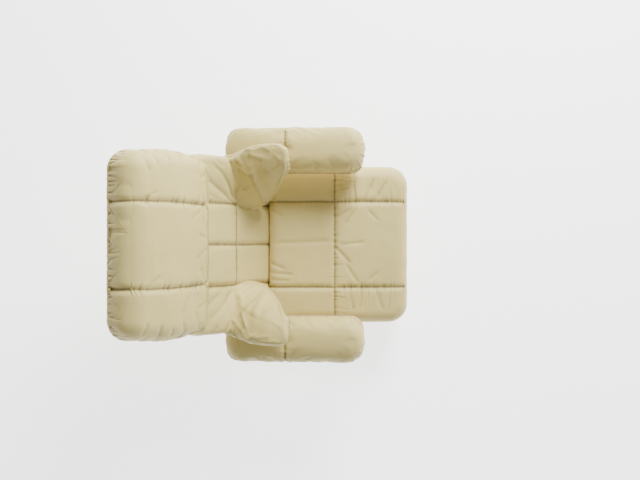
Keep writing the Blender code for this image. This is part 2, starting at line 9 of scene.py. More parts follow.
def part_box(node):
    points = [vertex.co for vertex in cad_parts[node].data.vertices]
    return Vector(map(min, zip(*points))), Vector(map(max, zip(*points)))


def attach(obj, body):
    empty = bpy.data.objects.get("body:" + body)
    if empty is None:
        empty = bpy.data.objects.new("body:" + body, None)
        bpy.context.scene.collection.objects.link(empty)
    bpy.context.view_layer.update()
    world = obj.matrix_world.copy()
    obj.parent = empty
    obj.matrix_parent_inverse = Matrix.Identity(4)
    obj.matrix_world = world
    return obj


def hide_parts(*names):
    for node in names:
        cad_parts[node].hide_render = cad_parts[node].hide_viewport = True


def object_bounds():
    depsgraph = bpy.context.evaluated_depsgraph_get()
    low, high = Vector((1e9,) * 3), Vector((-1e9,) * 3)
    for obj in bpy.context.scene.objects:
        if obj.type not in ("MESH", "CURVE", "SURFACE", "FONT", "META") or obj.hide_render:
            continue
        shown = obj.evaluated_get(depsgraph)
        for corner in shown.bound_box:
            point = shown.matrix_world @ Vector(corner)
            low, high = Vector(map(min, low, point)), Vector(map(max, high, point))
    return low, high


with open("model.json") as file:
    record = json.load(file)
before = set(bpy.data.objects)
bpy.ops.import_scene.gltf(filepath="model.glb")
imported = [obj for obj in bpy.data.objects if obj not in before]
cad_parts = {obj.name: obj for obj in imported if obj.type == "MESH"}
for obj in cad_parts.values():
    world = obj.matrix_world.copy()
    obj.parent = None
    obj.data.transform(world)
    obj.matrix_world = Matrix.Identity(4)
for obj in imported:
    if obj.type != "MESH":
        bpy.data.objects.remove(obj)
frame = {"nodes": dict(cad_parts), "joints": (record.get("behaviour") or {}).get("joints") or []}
cad_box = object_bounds()
noise.seed_set(7)
recline = next(joint for joint in frame["joints"] if joint["name"] == "back_recline")

# ---------------------------------------------------------------------------
# Studio. A camera hangs straight over the seat with the front of the seat to
# the right, over a plain pale floor, in broad soft light from one side.
SEAT_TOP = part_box("seat_cover")[1][2]
CAMERA_RISE = 2.8
CAMERA_OFF = (0.016, -0.011)
FLOOR_HALF = 40.0
FLOOR_DROP = 0.002
FLOOR_GLOW = 2.6
WORLD_GLOW = 0.34
camera_data = bpy.data.cameras.new("camera")
camera_data.lens = 45
camera_data.sensor_width = 36
camera = bpy.data.objects.new("camera", camera_data)
camera.location = (*CAMERA_OFF, SEAT_TOP + CAMERA_RISE)
camera.rotation_euler = (0, 0, math.radians(-90))
bpy.context.scene.collection.objects.link(camera)
bpy.context.scene.camera = camera

floor_data = bpy.data.meshes.new("floor")
floor_corners = [(across * FLOOR_HALF, along * FLOOR_HALF, 0)
                 for across, along in ((-1, -1), (1, -1), (1, 1), (-1, 1))]
floor_data.from_pydata(floor_corners, [], [(0, 1, 2, 3)])
floor = bpy.data.objects.new("floor", floor_data)
floor_data.transform(Matrix.Translation((0, 0, cad_box[0].z - FLOOR_DROP)))
bpy.context.scene.collection.objects.link(floor)
floor_paint = bpy.data.materials.new("floor_paint")
floor_paint.use_nodes = True
floor_sockets = floor_paint.node_tree.nodes["Principled BSDF"].inputs
floor_sockets["Base Color"].default_value = (0.9, 0.9, 0.9, 1)
floor_sockets["Roughness"].default_value = 0.8
floor_sockets["Emission Color"].default_value = (1, 1, 1, 1)
floor_sockets["Emission Strength"].default_value = FLOOR_GLOW
floor_data.materials.append(floor_paint)


def area_light(name, place, aim, size, power):
    """Hang a square soft light at a place, turned towards a point."""
    data = bpy.data.lights.new(name, "AREA")
    data.size = size
    data.energy = power
    lamp = bpy.data.objects.new(name, data)
    lamp.location = place
    lamp.rotation_euler = (Vector(aim) - Vector(place)).to_track_quat("-Z", "Y").to_euler()
    bpy.context.scene.collection.objects.link(lamp)


area_light("key_light", (2.6, -1.0, 2.0), (0, 0.1, 0.2), 1.4, 268)
area_light("fill_light", (-1.6, -0.8, 3.0), (0, 0, 0.2), 2.6, 20)
world = bpy.data.worlds.new("studio")
world.use_nodes = True
world.node_tree.nodes["Background"].inputs["Color"].default_value = (1, 1, 1, 1)
world.node_tree.nodes["Background"].inputs["Strength"].default_value = WORLD_GLOW
bpy.context.scene.world = world


# ---------------------------------------------------------------------------
# Leather: soft cream upholstery hide with a fine pebbled grain and a tone that drifts at random, a little
# glossier where it is creased; painted shade darkens its colour in creases and along seams.
class Value:
    """A shader socket that can be used in plain arithmetic."""

    def __init__(self, build, socket):
        self.build = build
        self.socket = socket

    def _math(self, operation, *values):
        return self.build.node("ShaderNodeMath", {"operation": operation}, *values)

    def __add__(self, other):
        return self._math("ADD", self, other)

    __radd__ = __add__

    def __sub__(self, other):
        return self._math("SUBTRACT", self, other)

    def __rsub__(self, other):
        return self._math("SUBTRACT", other, self)

    def __mul__(self, other):
        return self._math("MULTIPLY", self, other)

    def clamp(self):
        return self._math("MINIMUM", self._math("MAXIMUM", self, 0.0), 1.0)


class Build:
    """Adds nodes to one material's tree."""

    def __init__(self, name):
        self.material = bpy.data.materials.new(name)
        self.material.use_nodes = True
        self.tree = self.material.node_tree
        self.shader = self.tree.nodes["Principled BSDF"]

    def node(self, kind, settings, *values, output=0):
        made = self.tree.nodes.new(kind)
        for key, value in settings.items():
            setattr(made, key, value)
        for index, value in enumerate(values):
            if isinstance(value, tuple) and isinstance(value[0], str):
                name, value = value
                self.plug(value, made.inputs[name])
            elif value is not None:
                self.plug(value, made.inputs[index])
        return Value(self, made.outputs[output])

    def plug(self, value, socket):
        if isinstance(value, Value):
            self.tree.links.new(value.socket, socket)
        else:
            socket.default_value = value

    def set(self, **sockets):
        for name, value in sockets.items():
            self.plug(value, self.shader.inputs[name.replace("_", " ")])


def leather(name, light, deep, seed):
    """Make the hide's material: colour that drifts at random and is darkened by painted shade in creases and
    seams, and a pebbled grain.
    """
    b = Build(name)
    place = b.node("ShaderNodeTexCoord", {}, output=3)
    crease = b.node("ShaderNodeAttribute", {"attribute_name": "crease"}, output=2)
    seam = b.node("ShaderNodeAttribute", {"attribute_name": "seam"}, output=2)
    drift = b.node("ShaderNodeTexNoise", {"noise_dimensions": "4D"}, ("Vector", place), ("W", seed),
                   ("Scale", 5.0), ("Detail", 3.0))
    cells = b.node("ShaderNodeTexVoronoi", {"feature": "DISTANCE_TO_EDGE"}, ("Vector", place),
                   ("Scale", 620.0))
    pores = b.node("ShaderNodeTexNoise", {}, ("Vector", place), ("Scale", 240.0), ("Detail", 4.0))
    # Painted shade: the crease and seam masks mix the hide toward its darker shaded copy; the drift noise is the
    # hide's own random tone.
    shade = (crease * 0.75 + seam * 0.65 + (drift - 0.5) * 0.55 + 0.06).clamp()
    b.set(Base_Color=b.node("ShaderNodeMix", {"data_type": "RGBA"}, ("Factor", shade),
                            ("A", (*light, 1.0)), ("B", (*deep, 1.0)), output=2))
    b.set(Roughness=(0.50 - crease * 0.08 + (pores - 0.5) * 0.18).clamp())
    grain = (cells * 6.0).clamp() * 0.6 + pores * 0.4
    b.set(Normal=b.node("ShaderNodeBump", {}, ("Strength", 0.28), ("Distance", 0.0006), ("Height", grain)))
    b.shader.inputs["Sheen Weight"].default_value = 0.04
    b.shader.inputs["Specular IOR Level"].default_value = 0.35
    return b.material


# The second colour is a darker, yellower shaded copy of the hide, used for the painted shade in creases and
# seams.
hide = leather("cream_leather", (0.635, 0.525, 0.190), (0.285, 0.230, 0.082), 3.0)


# ---------------------------------------------------------------------------
# Seat cushion. Three lengthwise panels of leather over fibre and foam, with a
# seam across them near the front third; the hide is gathered in at the seams.
CELL = 0.006


def lines(*stops, cell=CELL):
    """Space grid lines evenly between stops, with a line on each stop."""
    spaced = []
    for start, end in zip(stops, stops[1:]):
        count = max(1, round(abs(end - start) / cell))
        spaced += list(np.linspace(start, end, count + 1)[:-1])
    return np.array(spaced + [stops[-1]])


def grid_box(xs, ys, zs):
    """Make the closed surface of a box as a grid of squares."""
    numbers = {}
    points = []
    faces = []

    def point(i, j, k):
        if (i, j, k) not in numbers:
            numbers[(i, j, k)] = len(points)
            points.append((xs[i], ys[j], zs[k]))
        return numbers[(i, j, k)]

    last = (len(xs) - 1, len(ys) - 1, len(zs) - 1)
    for axis in range(3):
        one, two = [a for a in range(3) if a != axis]
        for end in (0, last[axis]):
            for a in range(last[one]):
                for b in range(last[two]):
                    ring = []
                    for da, db in ((0, 0), (1, 0), (1, 1), (0, 1)):
                        key = [0, 0, 0]
                        key[axis], key[one], key[two] = end, a + da, b + db
                        ring.append(point(*key))
                    if (end == 0) != (axis == 1):
                        ring.reverse()
                    faces.append(ring)
    return np.array(points), faces


def round_over(points, low, high, corner, top, bottom):
    """Round a box of points: its upright corners, then its top and bottom edges."""
    middle = (np.array(low) + np.array(high)) / 2
    half = (np.array(high) - np.array(low)) / 2
    out = np.clip(points - middle, -half, half)
    over = np.abs(out[:, :2]) - (half[:2] - corner)
    both = np.all(over > 0, axis=1)
    length = np.hypot(over[:, 0], over[:, 1])
    scale = np.where(both, np.max(over, axis=1) / np.maximum(length, 1e-9), 1.0)
    over = np.where(both[:, None], over * scale[:, None], over)
    out[:, :2] = np.where(both[:, None], np.sign(out[:, :2]) * (half[:2] - corner + over), out[:, :2])
    reach = np.where(both, np.hypot(over[:, 0], over[:, 1]), np.max(over, axis=1))
    ahead = np.where(both[:, None], over, np.where(over == np.max(over, axis=1)[:, None], 1.0, 0.0))
    ahead = ahead / np.maximum(np.linalg.norm(ahead, axis=1), 1e-9)[:, None] * np.sign(out[:, :2])
    for radius, way in ((top, 1), (bottom, -1)):
        side = reach - (corner - radius)
        rise = way * out[:, 2] - (half[2] - radius)
        turn = (side > 0) & (rise > 0)
        size = np.maximum(side, rise) / np.maximum(np.hypot(side, rise), 1e-9)
        out[:, :2] -= np.where(turn, side * (1 - size), 0.0)[:, None] * ahead
        out[:, 2] -= np.where(turn, way * rise * (1 - size), 0.0)
    return out + middle


def near(values, line):
    """Tell which points lie on a grid line."""
    return np.abs(values - line) < 1e-6


def dip(distance, depth=0.006, width=0.009):
    """How far the cover dips at a distance from a seam."""
    return depth * np.exp(-(distance / width) ** 2)


def wave(*places):
    """Smooth noise from -1 to 1 at each place."""
    return np.array([noise.noise(Vector(row)) for row in np.broadcast(*places)])


def wander(points, size, scale, seed):
    """Push points about a little, so that nothing is dead straight."""
    shift = [noise.noise_vector(Vector(point) * scale + Vector((seed, 0, 0))) for point in points]
    return points + np.array(shift) * size


def smooth_step(share):
    """A share from 0 to 1 that starts and stops softly."""
    return share ** 2 * (3 - 2 * share)


def fold_line(a, b, start, end, depth, width):
    """Depth of one soft fold that runs from start to end over a panel with coordinates a and b."""
    run = np.array(end) - np.array(start)
    share = ((a - start[0]) * run[0] + (b - start[1]) * run[1]) / (run @ run)
    kept = np.clip(share, 0, 1)
    off = np.hypot(a - start[0] - kept * run[0], b - start[1] - kept * run[1])
    taper = np.clip(4 * (1 - np.abs(2 * kept - 1)), 0.35, 1)
    return depth * taper * np.exp(-(off / width) ** 2)


def fold_field(a, b, folds):
    """Depth of all the soft folds of a panel, added up."""
    return sum(fold_line(a, b, start, end, deep, wide) for start, end, deep, wide in folds)


def points_of(mesh, kind="co"):
    """The places, or another vector, of a mesh's points as rows."""
    flat = np.empty(len(mesh.vertices) * 3)
    mesh.vertices.foreach_get(kind, flat)
    return flat.reshape(-1, 3)


def write(mesh, **layers):
    """Store one number for each point under each name."""
    for name, values in layers.items():
        layer = mesh.attributes.new(name, "FLOAT", "POINT")
        layer.data.foreach_set("value", np.asarray(values, dtype=np.float32))


def read(mesh, name):
    """Take a stored number for each point, and drop it from the mesh."""
    values = np.empty(len(mesh.vertices), dtype=np.float32)
    mesh.attributes[name].data.foreach_get("value", values)
    mesh.attributes.remove(mesh.attributes[name])
    return values.astype(float)


def new_piece(name, points, faces, material):
    """Link a mesh piece made of points and faces, shaded smooth."""
    data = bpy.data.meshes.new(name)
    data.from_pydata([tuple(p) for p in points], [], faces)
    data.shade_smooth()
    data.materials.append(material)
    piece = bpy.data.objects.new(name, data)
    bpy.context.scene.collection.objects.link(piece)
    return piece


def inflate(piece, sewn, hold, ease, ease_most, pressure=4.0, frames=14, cap=0.012, bend=0.5):
    """Blow up a sewn cover against its held seams, with extra hide eased in, and keep the result.

    sewn tells which points lie in a seam, hold is how firmly the others stay in place, ease is each point's
    share of ease_most, and cap is the furthest that any point moves.
    """
    hold = np.where(sewn, 1.0, hold)
    count = len(piece.data.vertices)
    before = points_of(piece.data)
    held = piece.vertex_groups.new(name="held")
    eased = piece.vertex_groups.new(name="eased")
    for index in range(count):
        held.add([index], float(hold[index]), "REPLACE")
        eased.add([index], 1.0 - float(ease[index]), "REPLACE")
    cloth = piece.modifiers.new("cloth", "CLOTH")
    settings = cloth.settings
    settings.quality = 5
    settings.mass = 0.25
    settings.tension_stiffness = 18
    settings.compression_stiffness = 18
    settings.shear_stiffness = 8
    settings.bending_stiffness = bend
    settings.air_damping = 2
    settings.use_pressure = True
    settings.uniform_pressure_force = pressure
    settings.vertex_group_mass = "held"
    settings.pin_stiffness = 1.0
    settings.vertex_group_shrink = "eased"
    settings.shrink_min = -ease_most
    settings.shrink_max = 0.0
    settings.effector_weights.gravity = 0
    cloth.collision_settings.use_collision = False
    cloth.point_cache.frame_end = frames
    scene = bpy.context.scene
    for number in range(1, frames + 1):
        scene.frame_set(number)
    moved = points_of(piece.evaluated_get(bpy.context.evaluated_depsgraph_get()).data) - before
    length = np.linalg.norm(moved, axis=1)
    kept = cap * np.tanh(length / cap)
    after = before + moved * (kept / np.maximum(length, 1e-9))[:, None]
    piece.modifiers.remove(cloth)
    piece.vertex_groups.clear()
    scene.frame_set(1)
    piece.data.vertices.foreach_set("co", after.ravel())
    piece.data.update()


def refine(piece):
    """Smooth a piece once into squares of half the size, and keep the result."""
    smooth = piece.modifiers.new("smooth", "SUBSURF")
    smooth.levels = 1
    smooth.render_levels = 1
    fine = bpy.data.meshes.new_from_object(piece.evaluated_get(bpy.context.evaluated_depsgraph_get()))
    piece.modifiers.remove(smooth)
    piece.data = fine


def hollow(mesh, rounds):
    """How far each point lies below the smoothed surface round it."""
    place = points_of(mesh)
    ends = np.empty(len(mesh.edges) * 2, dtype=np.int64)
    mesh.edges.foreach_get("vertices", ends)
    first, second = ends.reshape(-1, 2).T
    whole = np.concatenate((first, second))
    other = np.concatenate((second, first))
    count = len(place)
    shares = np.maximum(np.bincount(whole, minlength=count), 1)
    smooth = place.copy()
    for _ in range(rounds):
        smooth = np.stack([np.bincount(whole, smooth[other, axis], count) / shares for axis in range(3)], axis=1)
    return np.sum((smooth - place) * points_of(mesh, "normal"), axis=1)


def seam_field(flat, seams):
    """Each point's distance from the nearest seam, and its place along that seam."""
    gap = np.full(len(flat), 1.0)
    run = np.zeros(len(flat))
    for number, (where, axis, place, along) in enumerate(seams):
        reach = np.where(where, np.abs(flat[:, axis] - place), 1.0)
        run = np.where(reach < gap, flat[:, along] + number * 3.7, run)
        gap = np.minimum(gap, reach)
    return gap, run


def stitch_tree():
    """Stitches laid at even steps along a line: a thread that dips and shows like a short bead."""
    tree = bpy.data.node_groups.new("stitch_row", "GeometryNodeTree")
    face = tree.interface
    face.new_socket("Line", in_out="INPUT", socket_type="NodeSocketGeometry")
    step = face.new_socket("Step", in_out="INPUT", socket_type="NodeSocketFloat")
    length = face.new_socket("Length", in_out="INPUT", socket_type="NodeSocketFloat")
    width = face.new_socket("Width", in_out="INPUT", socket_type="NodeSocketFloat")
    thread = face.new_socket("Thread", in_out="INPUT", socket_type="NodeSocketMaterial")
    face.new_socket("Stitches", in_out="OUTPUT", socket_type="NodeSocketGeometry")
    start = tree.nodes.new("NodeGroupInput")
    finish = tree.nodes.new("NodeGroupOutput")
    curve = tree.nodes.new("GeometryNodeMeshToCurve")
    points = tree.nodes.new("GeometryNodeCurveToPoints")
    points.mode = "LENGTH"
    bead = tree.nodes.new("GeometryNodeMeshUVSphere")
    bead.inputs["Segments"].default_value = 6
    bead.inputs["Rings"].default_value = 4
    bead.inputs["Radius"].default_value = 0.5
    size = tree.nodes.new("ShaderNodeCombineXYZ")
    place = tree.nodes.new("GeometryNodeInstanceOnPoints")
    real = tree.nodes.new("GeometryNodeRealizeInstances")
    paint = tree.nodes.new("GeometryNodeSetMaterial")
    links = (
        (start.outputs["Line"], curve.inputs["Mesh"]),
        (curve.outputs["Curve"], points.inputs["Curve"]),
        (start.outputs["Step"], points.inputs["Length"]),
        (start.outputs["Width"], size.inputs["X"]),
        (start.outputs["Width"], size.inputs["Y"]),
        (start.outputs["Length"], size.inputs["Z"]),
        (points.outputs["Points"], place.inputs["Points"]),
        (points.outputs["Rotation"], place.inputs["Rotation"]),
        (bead.outputs["Mesh"], place.inputs["Instance"]),
        (size.outputs["Vector"], place.inputs["Scale"]),
        (place.outputs["Instances"], real.inputs["Geometry"]),
        (real.outputs["Geometry"], paint.inputs["Geometry"]),
        (start.outputs["Thread"], paint.inputs["Material"]),
        (paint.outputs["Geometry"], finish.inputs["Stitches"]),
    )
    for out, end in links:
        tree.links.new(out, end)
    return tree, {"step": step.identifier, "length": length.identifier, "width": width.identifier,
                  "thread": thread.identifier}


def polyester(name):
    """Twisted cream thread, a little darker than the hide."""
    b = Build(name)
    place = b.node("ShaderNodeTexCoord", {}, output=3)
    twist = b.node("ShaderNodeTexWave", {"bands_direction": "DIAGONAL"}, ("Vector", place), ("Scale", 900.0),
                   output=1)
    b.set(Base_Color=b.node("ShaderNodeMix", {"data_type": "RGBA"}, ("Factor", twist),
                            ("A", (0.42, 0.33, 0.13, 1)), ("B", (0.28, 0.20, 0.07, 1)), output=2))
    b.set(Roughness=(0.55 + (twist - 0.5) * 0.2).clamp())
    return b.material


STITCH_STEP = 0.0055
STITCH_LENGTH = 0.0040
STITCH_WIDTH = 0.0009
stitch_row, stitch_inputs = stitch_tree()
thread = polyester("seam_thread")


def sew(name, body, piece, gap, where):
    """Lay a row of stitches in each seam of a finished cushion, on the leather."""
    mesh = piece.data
    place = points_of(mesh) + points_of(mesh, "normal") * 0.0002
    on_seam = (gap < 1e-5) & where
    ends = np.empty(len(mesh.edges) * 2, dtype=np.int64)
    mesh.edges.foreach_get("vertices", ends)
    ends = ends.reshape(-1, 2)
    kept = ends[on_seam[ends[:, 0]] & on_seam[ends[:, 1]]]
    used = np.unique(kept)
    number = np.zeros(len(place), dtype=np.int64)
    number[used] = np.arange(len(used))
    data = bpy.data.meshes.new(name)
    data.from_pydata([tuple(point) for point in place[used]], [tuple(pair) for pair in number[kept]], [])
    row = bpy.data.objects.new(name, data)
    bpy.context.scene.collection.objects.link(row)
    laid = row.modifiers.new("stitches", "NODES")
    laid.node_group = stitch_row
    laid[stitch_inputs["step"]] = STITCH_STEP
    laid[stitch_inputs["length"]] = STITCH_LENGTH
    laid[stitch_inputs["width"]] = STITCH_WIDTH
    laid[stitch_inputs["thread"]] = thread
    made = bpy.data.meshes.new_from_object(row.evaluated_get(bpy.context.evaluated_depsgraph_get()))
    row.modifiers.remove(laid)
    row.data = made
    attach(row, body)


GROOVE_WIDE = 0.0032
RUCK_WIDE = 0.16
RUCK_MEAN = 0.25
SHORT_RUCK = 0.004
FINE_HOLLOW = 0.0009
BROAD_HOLLOW = 0.005
SEAM_WIDE = 0.0022


def upholster(name, body, nodes, flat, shaped, faces, seams, seed, pull=1.0, reach=0.025, fold=0.0,
              groove=0.0022, gather=0.0022, pitch=0.013, blow=None):
    """Make one leather cushion: blown up between its seams if blow says how, gathered and tied to its body.

    pull is how hard each point's seam gathers the hide, reach is how far its rucks run, and fold is how deep the
    soft folds lie there.
    """
    gap, run = seam_field(flat, seams)
    piece = new_piece(name, shaped, faces, hide)
    if blow:
        inflate(piece, gap < 1e-6, **blow)
    count = len(flat)
    write(piece.data, gap=gap, run=run, pull=np.broadcast_to(pull, count), reach=np.broadcast_to(reach, count),
          fold=np.broadcast_to(fold, count))
    refine(piece)
    mesh = piece.data
    gap, run, pull, reach, fold = [read(mesh, layer) for layer in ("gap", "run", "pull", "reach", "fold")]
    long = reach * (0.75 + 0.9 * wave(run / (pitch * 1.9), seed, 3.1))
    fade = np.clip(1 - gap / np.maximum(long, SHORT_RUCK), 0, 1) ** 1.3
    pucker = wave(run / pitch, gap / (pitch * 7), seed)
    drop = groove * np.exp(-(gap / GROOVE_WIDE) ** 2)
    drop += gather * pull * fade * (np.exp(-(pucker / RUCK_WIDE) ** 2) - RUCK_MEAN)
    drop += fold
    place = points_of(mesh) - points_of(mesh, "normal") * drop[:, None]
    mesh.vertices.foreach_set("co", place.ravel())
    mesh.update()
    # Masks for painted shade in the hide's colour: how deep each point lies in a crease, and how near it lies to
    # a seam.
    fine = np.clip(hollow(mesh, 3) / FINE_HOLLOW, 0, 1)
    broad = np.clip(hollow(mesh, 14) / BROAD_HOLLOW, 0, 1)
    write(mesh, crease=np.clip(0.6 * fine + 0.6 * broad, 0, 1), seam=np.exp(-(gap / SEAM_WIDE) ** 2))
    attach(piece, body)
    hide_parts(*nodes)
    sew(name.replace("_cushion", "") + "_stitches", body, piece, gap, pull > 0.01)


seat_low, seat_high = [np.array(corner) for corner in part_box("seat_cover")]
spring_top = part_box("seat_spring_1")[1][2]
SEAM_X = 0.150
SEAM_Y = -0.063
FOLD_Y = -0.133
SEAT_HALF = 0.28
SEAT_LIFT = 0.006
SOCKET_R = 0.0785
flat, faces = grid_box(lines(seat_low[0], -SEAM_X, 0.0, SEAM_X, seat_high[0]),
                       lines(seat_low[1], FOLD_Y, SEAM_Y, seat_high[1]),
                       lines(seat_low[2], 0.125, seat_high[2]))
box = (seat_low + (0.004, 0.004, 0), seat_high - (0.004, 0.001, 0.009))
rise = np.clip((flat[:, 2:3] - seat_low[2] - 0.020) / 0.045, 0, 1)
shaped = round_over(flat, *box, 0.068, 0.044, 0.010) * rise
shaped += round_over(flat, *box, 0.048, 0.042, 0.010) * (1 - rise)
x, y = flat[:, 0], flat[:, 1]
top = near(flat[:, 2], seat_high[2])
under = near(flat[:, 2], seat_low[2])
seams = [(~under, 0, SEAM_X, 1), (~under, 0, -SEAM_X, 1), (top, 1, SEAM_Y, 0)]
depth = dip(np.abs(np.abs(x) - SEAM_X)) * top
depth = np.maximum(depth, dip(np.abs(y - SEAM_Y), 0.005, 0.008) * top)
shaped[:, 2] -= depth
crown = (1 - (x / SEAT_HALF) ** 2) * (1 - ((y + 0.07) / 0.26) ** 2)
shaped[:, 2] += np.where(top, SEAT_LIFT * np.clip(crown, 0, 1), 0)
rim = np.minimum(SEAT_HALF - np.abs(x), np.minimum(y - seat_low[1], seat_high[1] - y))
lift = spring_top + 0.0004 - seat_low[2]
shaped[:, 2] += np.where(under, np.clip((rim - 0.012) / 0.012, 0, 1) * lift, 0)
swing = SOCKET_R ** 2 - (shaped[:, 2] - recline["pos_m"][2]) ** 2
socket = recline["pos_m"][1] - np.sqrt(np.maximum(swing, 0))
shaped[:, 1] = np.where((swing > 0) & (shaped[:, 1] > socket), socket, shaped[:, 1])
outer = np.clip((np.abs(x) - SEAM_X) / 0.02, 0, 1)
ahead = np.clip((SEAM_Y - y) / 0.03, 0, 1)
pull = 0.6 + 0.6 * np.clip((-0.045 - y) / 0.02, 0, 1)
reach = 0.017 + 0.075 * outer * ahead + 0.022 * ahead
SEAT_FOLDS = (
    ((-0.008, -0.064), (-0.068, -0.120), 0.0040, 0.007),
    ((-0.060, -0.098), (-0.135, -0.145), 0.0034, 0.006),
    ((-0.001, -0.070), (0.009, -0.168), 0.0026, 0.006),
    ((0.005, 0.168), (0.014, -0.057), 0.0028, 0.009),
    ((-0.064, 0.171), (-0.086, 0.111), 0.0026, 0.006),
    ((-0.099, 0.166), (-0.106, 0.083), 0.0028, 0.006),
    ((-0.124, 0.170), (-0.128, 0.090), 0.0022, 0.005),
    ((0.095, -0.066), (0.126, -0.120), 0.0022, 0.006),
    ((0.124, 0.165), (0.100, 0.120), 0.0020, 0.006),
    ((0.120, -0.130), (0.070, -0.100), 0.0026, 0.006),
    ((0.122, -0.180), (0.085, -0.215), 0.0024, 0.006),
    ((-0.124, -0.180), (-0.095, -0.215), 0.0022, 0.006),
    ((0.136, FOLD_Y), (0.262, FOLD_Y + 0.004), 0.0032, 0.004),
    ((0.140, -0.160), (0.240, -0.205), 0.0030, 0.006),
    ((0.145, -0.195), (0.230, -0.250), 0.0028, 0.006),
    ((-0.138, -0.118), (-0.235, -0.128), 0.0028, 0.006),
    ((-0.138, -0.160), (-0.225, -0.150), 0.0026, 0.006),
    ((-0.140, -0.200), (-0.235, -0.235), 0.0026, 0.006),
)
upholster("seat_cushion", "carriage", ("seat_cover", "seat_wadding", "seat_foam"), flat,
          wander(shaped, 0.0010, 26, 1.0), faces, seams, 1.5, pull=pull, reach=reach,
          fold=fold_field(x, y, SEAT_FOLDS) * top)


# ---------------------------------------------------------------------------
# Lower back. Two plump lumbar panels between a pair of side panels, with a
# stitched seam across; above that seam the side panels reach out to full width.
slide = next(joint for joint in frame["joints"] if joint["name"] == "head_height")
pivot = Vector(recline["pos_m"])
up_back = Vector(slide["axis"])
out_front = Vector((0, -up_back.z, up_back.y))


def in_back(points):
    """Turn points of the back (across, up along it, out of its front) into the chair's own frame."""
    turn = np.array([(1, 0, 0), tuple(up_back), tuple(out_front)])
    return np.asarray(points) @ turn + np.array(pivot)


DOME_U = 0.190
DOME_N = -0.0626


def dome(n, radius):
    """Height along the back of the curved joint under the head section."""
    return DOME_U + np.sqrt(np.maximum(radius ** 2 - (n - DOME_N) ** 2, 0))


LUMBAR_X = 0.137
BACK_WIDE = 0.294
BACK_NARROW = 0.224
BACK_TOP = 0.282
BACK_DOME_R = 0.197
BACK_FOOT_R = 0.0742
BACK_SWELL = 0.027
BACK_SEAM_U = 0.150
low, high = np.array((-BACK_WIDE, -0.075, -0.0505)), np.array((BACK_WIDE, 0.385, 0.071))
flat, faces = grid_box(lines(-BACK_WIDE, -LUMBAR_X, 0.0, LUMBAR_X, BACK_WIDE),
                       lines(low[1], BACK_SEAM_U, high[1]), lines(low[2], 0.010, high[2]))
shaped = round_over(flat, low, high - (0, 0, 0.006), 0.026, 0.024, 0.010)
x, u = flat[:, 0], flat[:, 1]
front = near(flat[:, 2], high[2])
seams = [(front & (u < 0.31), 0, LUMBAR_X, 1), (front & (u < 0.31), 0, -LUMBAR_X, 1),
         (front, 0, 0.0, 1), (front & (np.abs(x) < LUMBAR_X + 1e-6), 1, BACK_SEAM_U, 0)]
depth = dip(np.abs(np.abs(x) - LUMBAR_X), 0.008, 0.010) * front
depth = np.maximum(depth, dip(np.abs(u - BACK_SEAM_U), 0.002, 0.006) * front)
depth = np.maximum(depth, dip(np.abs(x), 0.006, 0.009) * front)
shaped[:, 2] -= depth
shaped[:, 2] += np.where(front, 0.006 * np.cos(np.clip(x / 0.30, -1, 1) * math.pi / 2), 0)
outward = np.clip((np.abs(x) - 0.155) / 0.11, 0, 1)
downward = np.clip((0.310 - u) / 0.10, 0, 1)
swell = BACK_SWELL * smooth_step(outward) * smooth_step(downward)
shaped[:, 2] += np.where(flat[:, 2] > 0.010, swell * (flat[:, 2] - 0.010) / (high[2] - 0.010), 0)
wide = np.interp(shaped[:, 1], (-0.10, 0.165, 0.203, 0.310, 0.360),
                 (BACK_NARROW, BACK_NARROW, BACK_WIDE, BACK_WIDE, BACK_TOP))
span = np.abs(shaped[:, 0])
past = (span - LUMBAR_X) / (BACK_WIDE - LUMBAR_X)
placed = np.where(span > LUMBAR_X, LUMBAR_X + past * (wide - LUMBAR_X), span)
shaped[:, 0] = np.sign(shaped[:, 0]) * placed
foot = -np.sqrt(np.maximum(BACK_FOOT_R ** 2 - np.clip(shaped[:, 2], -0.074, 0.074) ** 2, 0))
shaped[:, 1] = np.maximum(shaped[:, 1], foot)
shaped[:, 1] = np.minimum(shaped[:, 1], dome(shaped[:, 2], BACK_DOME_R) - 0.002)
side_part = (np.abs(x) > LUMBAR_X) & front
pull = np.where(front, 0.9, 0.0) + 0.4 * side_part
reach = np.where(side_part, 0.034, 0.020)
BACK_FOLDS = (
    ((0.262, 0.272), (0.168, 0.160), 0.0042, 0.007),
    ((0.212, 0.296), (0.144, 0.164), 0.0040, 0.007),
    ((0.292, 0.232), (0.236, 0.172), 0.0030, 0.006),
    ((0.240, 0.308), (0.205, 0.270), 0.0026, 0.006),
    ((0.176, 0.312), (0.150, 0.240), 0.0026, 0.006),
    ((0.282, 0.262), (0.256, 0.238), 0.0024, 0.005),
    ((-0.290, 0.190), (-0.236, 0.174), 0.0040, 0.006),
    ((-0.240, 0.178), (-0.206, 0.155), 0.0034, 0.006),
    ((-0.290, 0.228), (-0.256, 0.214), 0.0034, 0.006),
    ((-0.288, 0.275), (-0.262, 0.255), 0.0030, 0.005),
    ((-0.245, 0.290), (-0.160, 0.175), 0.0030, 0.009),
    ((-0.200, 0.302), (-0.148, 0.215), 0.0024, 0.008),
)
upholster("lower_back_cushion", "back", ("back_cover", "back_wadding", "back_foam"), flat,
          in_back(wander(shaped, 0.0010, 26, 5.0)), faces, seams, 5.5,
          pull=pull, reach=reach, fold=fold_field(x, u, BACK_FOLDS) * front)


